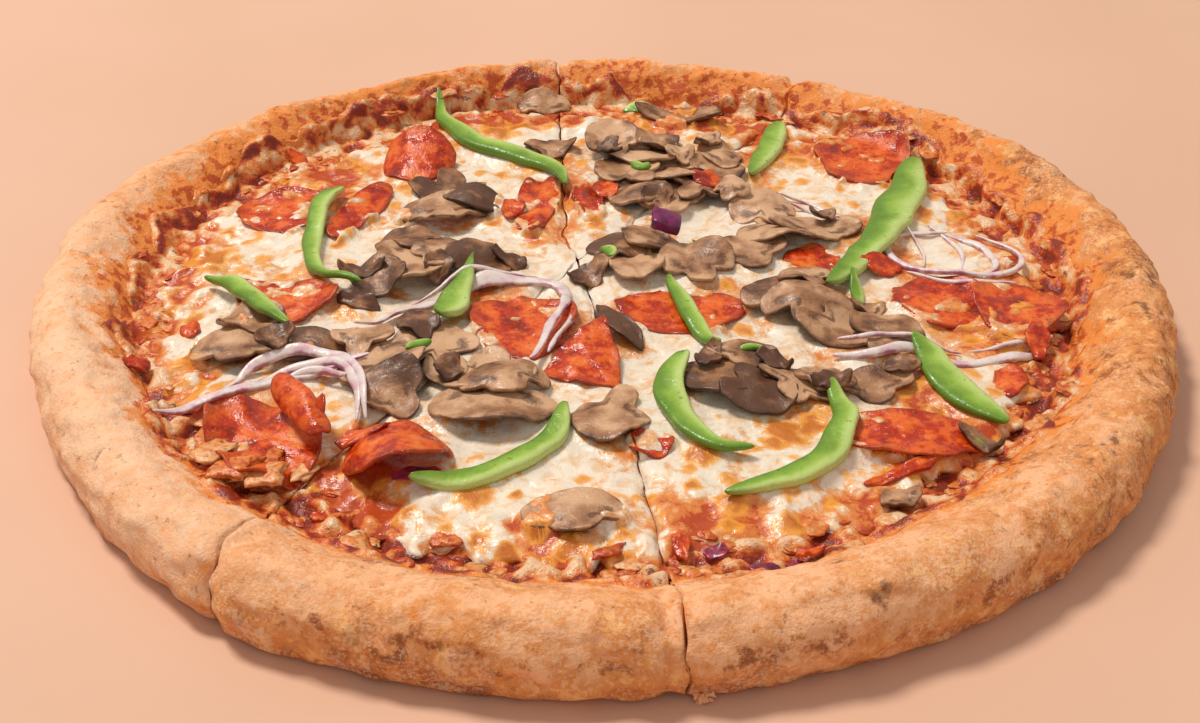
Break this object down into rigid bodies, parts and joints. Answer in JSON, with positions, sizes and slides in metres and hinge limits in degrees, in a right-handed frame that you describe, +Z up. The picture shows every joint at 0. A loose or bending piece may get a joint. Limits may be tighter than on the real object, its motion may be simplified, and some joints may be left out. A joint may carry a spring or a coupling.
{
  "type": "pizza",
  "caption": "Round baked pizza with a puffy rim, sauce, melted cheese, sliced sausage, mushroom, onion and green pepper, cut into pieces that still lie together.",
  "frame": {"origin": "middle of the flat underside, where the pizza rests", "axes": "+Z up, out of the toppings; -Y towards the front, as the pizza is seen in the picture"},
  "size_m": [0.3603, 0.356, 0.0267],
  "materials": {
    "crust": "matte",
    "sauce": "satin",
    "cheese": "satin",
    "pepperoni": "satin",
    "mushroom": "satin",
    "onion": "gloss",
    "pepper": "gloss"
  },
  "bodies": {
    "root": {"cheese_back": "cheese", "cheese_front": "cheese", "cheese_left": "cheese", "cheese_right": "cheese", "crust_back": "crust", "crust_front": "crust", "crust_left": "crust", "crust_right": "crust", "mushroom_by_cut": "mushroom", "mushroom_dark": "mushroom", "mushroom_far_back": "mushroom", "mushroom_front": "mushroom", "mushroom_under_sausage": "mushroom", "mushrooms_back": "mushroom", "mushrooms_back_left": "mushroom", "mushrooms_back_left_outer": "mushroom", "mushrooms_back_right": "mushroom", "mushrooms_front_left": "mushroom", "mushrooms_front_right": "mushroom", "mushrooms_left": "mushroom", "mushrooms_left_inner": "mushroom", "mushrooms_middle": "mushroom", "mushrooms_right": "mushroom", "onion_arc": "onion", "onion_chunk": "onion", "onion_front_right": "onion", "onion_left": "onion", "onion_ring": "onion", "pepper_back_left": "pepper", "pepper_back_right": "pepper", "pepper_far_left": "pepper", "pepper_front_left": "pepper", "pepper_front_middle": "pepper", "pepper_front_right": "pepper", "pepper_left": "pepper", "pepper_middle": "pepper", "pepper_pale_left": "pepper", "pepper_right": "pepper", "pepper_tall_right": "pepper", "pepperoni_back_left": "pepperoni", "pepperoni_behind_pepper": "pepperoni", "pepperoni_curled": "pepperoni", "pepperoni_cut": "pepperoni", "pepperoni_far_right": "pepperoni", "pepperoni_folded": "pepperoni", "pepperoni_front_right": "pepperoni", "pepperoni_left": "pepperoni", "pepperoni_middle": "pepperoni", "pepperoni_middle_right": "pepperoni", "pepperoni_right_inner": "pepperoni", "pepperoni_right_outer": "pepperoni", "pepperoni_scrap": "pepperoni", "pepperoni_small_right": "pepperoni", "pepperoni_torn": "pepperoni", "pepperoni_torn_right": "pepperoni", "pepperoni_upright": "pepperoni", "sauce_back": "sauce", "sauce_front": "sauce", "sauce_left": "sauce", "sauce_right": "sauce"}
  },
  "joints": []
}
